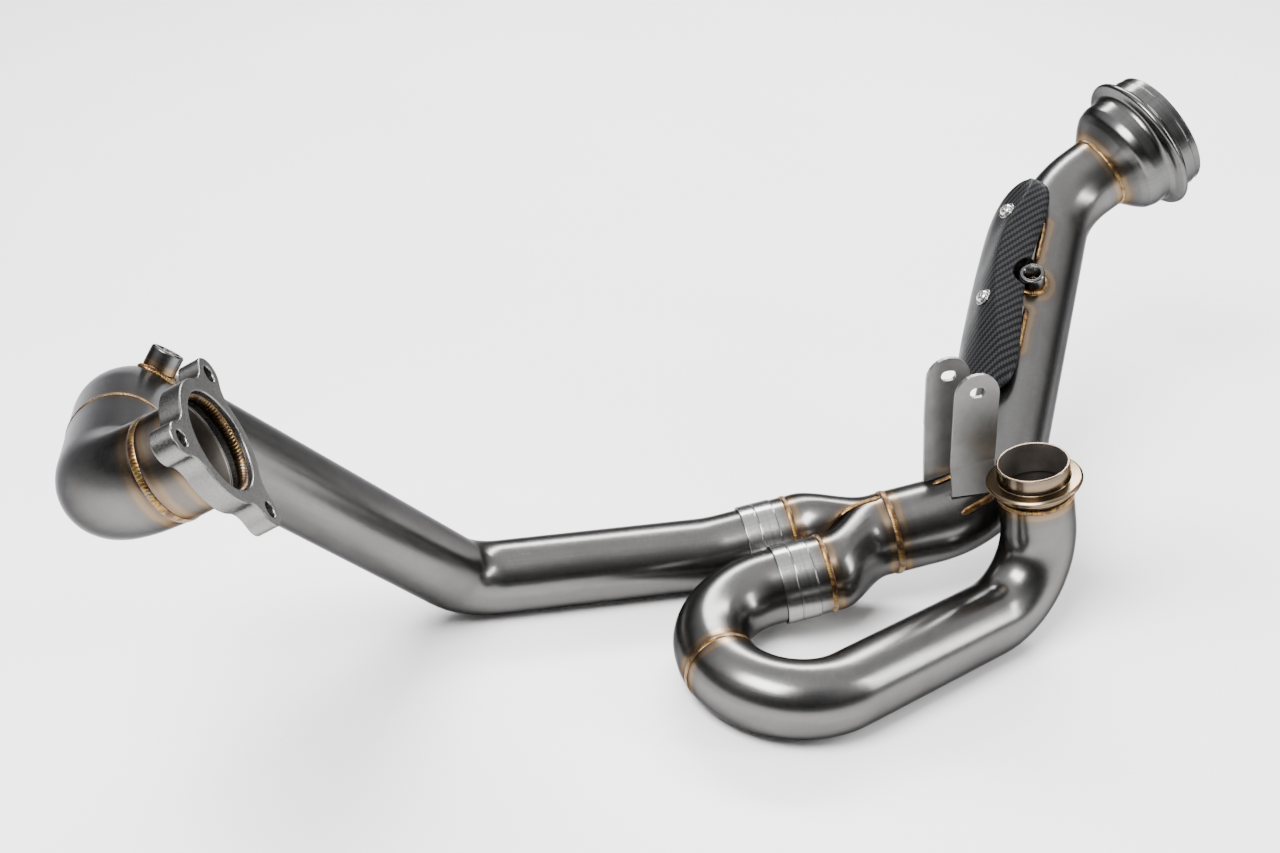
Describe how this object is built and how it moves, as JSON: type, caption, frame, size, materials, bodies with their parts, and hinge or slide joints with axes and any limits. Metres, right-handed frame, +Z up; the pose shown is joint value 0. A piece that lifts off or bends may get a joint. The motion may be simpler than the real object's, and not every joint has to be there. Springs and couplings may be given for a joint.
{
  "type": "racing exhaust header",
  "caption": "Two-into-one motorcycle racing exhaust header with slip joints, merge collector, carbon heat shield and stepped outlet cup.",
  "frame": {"origin": "middle of the footprint's box on the floor the exhaust rests on", "axes": "+X horizontally along the slip joints, from the headers to the collector; +Z up; +Y completes the right hand, away from the camera"},
  "size_m": [0.882, 0.703, 0.4024],
  "materials": {
    "brushed_stainless": "satin brushed stainless tube, 1.5 mm wall",
    "machined_stainless": "fine lathe-turned stainless",
    "tig_weld": "stacked TIG bead with gold and blue heat tint",
    "bracket_sheet": "matt cold-rolled stainless sheet",
    "carbon_fibre": "twill carbon fibre in clear resin",
    "button_screw": "bright button-head socket screw"
  },
  "bodies": {
    "collector": {"collector_weld": "tig_weld", "front_hanger": "bracket_sheet", "front_hanger_weld": "tig_weld", "front_merge_leg": "brushed_stainless", "front_sleeve_weld": "tig_weld", "front_slip_sleeve": "machined_stainless", "heat_shield": "carbon_fibre", "merge_seam_weld_lower": "tig_weld", "merge_seam_weld_upper": "tig_weld", "outlet_cup": "brushed_stainless", "outlet_cup_weld": "tig_weld", "outlet_spigot": "machined_stainless", "rear_hanger": "bracket_sheet", "rear_hanger_weld": "tig_weld", "rear_merge_leg": "brushed_stainless", "rear_sleeve_weld": "tig_weld", "rear_slip_sleeve": "machined_stainless", "shield_lower_nut": "button_screw", "shield_lower_screw": "button_screw", "shield_lower_tab": "bracket_sheet", "shield_lower_tab_weld": "tig_weld", "shield_lower_washer": "button_screw", "shield_upper_nut": "button_screw", "shield_upper_screw": "button_screw", "shield_upper_tab": "bracket_sheet", "shield_upper_tab_weld": "tig_weld", "shield_upper_washer": "button_screw", "tail_pipe": "brushed_stainless", "tail_sensor_bung": "machined_stainless", "tail_sensor_bung_weld": "tig_weld"},
    "rear_header": {"rear_elbow": "brushed_stainless", "rear_elbow_weld": "tig_weld", "rear_flange_weld": "tig_weld", "rear_long_pipe": "brushed_stainless", "rear_port_flange": "machined_stainless", "rear_port_stub": "brushed_stainless", "rear_sensor_bung": "machined_stainless", "rear_sensor_bung_weld": "tig_weld", "rear_stub_weld": "tig_weld"},
    "front_header": {"front_collar_weld": "tig_weld", "front_down_pipe": "brushed_stainless", "front_port_collar": "machined_stainless", "front_u_bend": "brushed_stainless", "front_u_bend_weld": "tig_weld"}
  },
  "joints": [
    {"name": "rear_slip", "type": "slide", "parent": "collector", "child": "rear_header", "axis": [-0.9798, 0, -0.2], "range_m": [0, 0.025]},
    {"name": "front_slip", "type": "slide", "parent": "collector", "child": "front_header", "axis": [-0.9798, 0, -0.2], "range_m": [0, 0.015]}
  ]
}
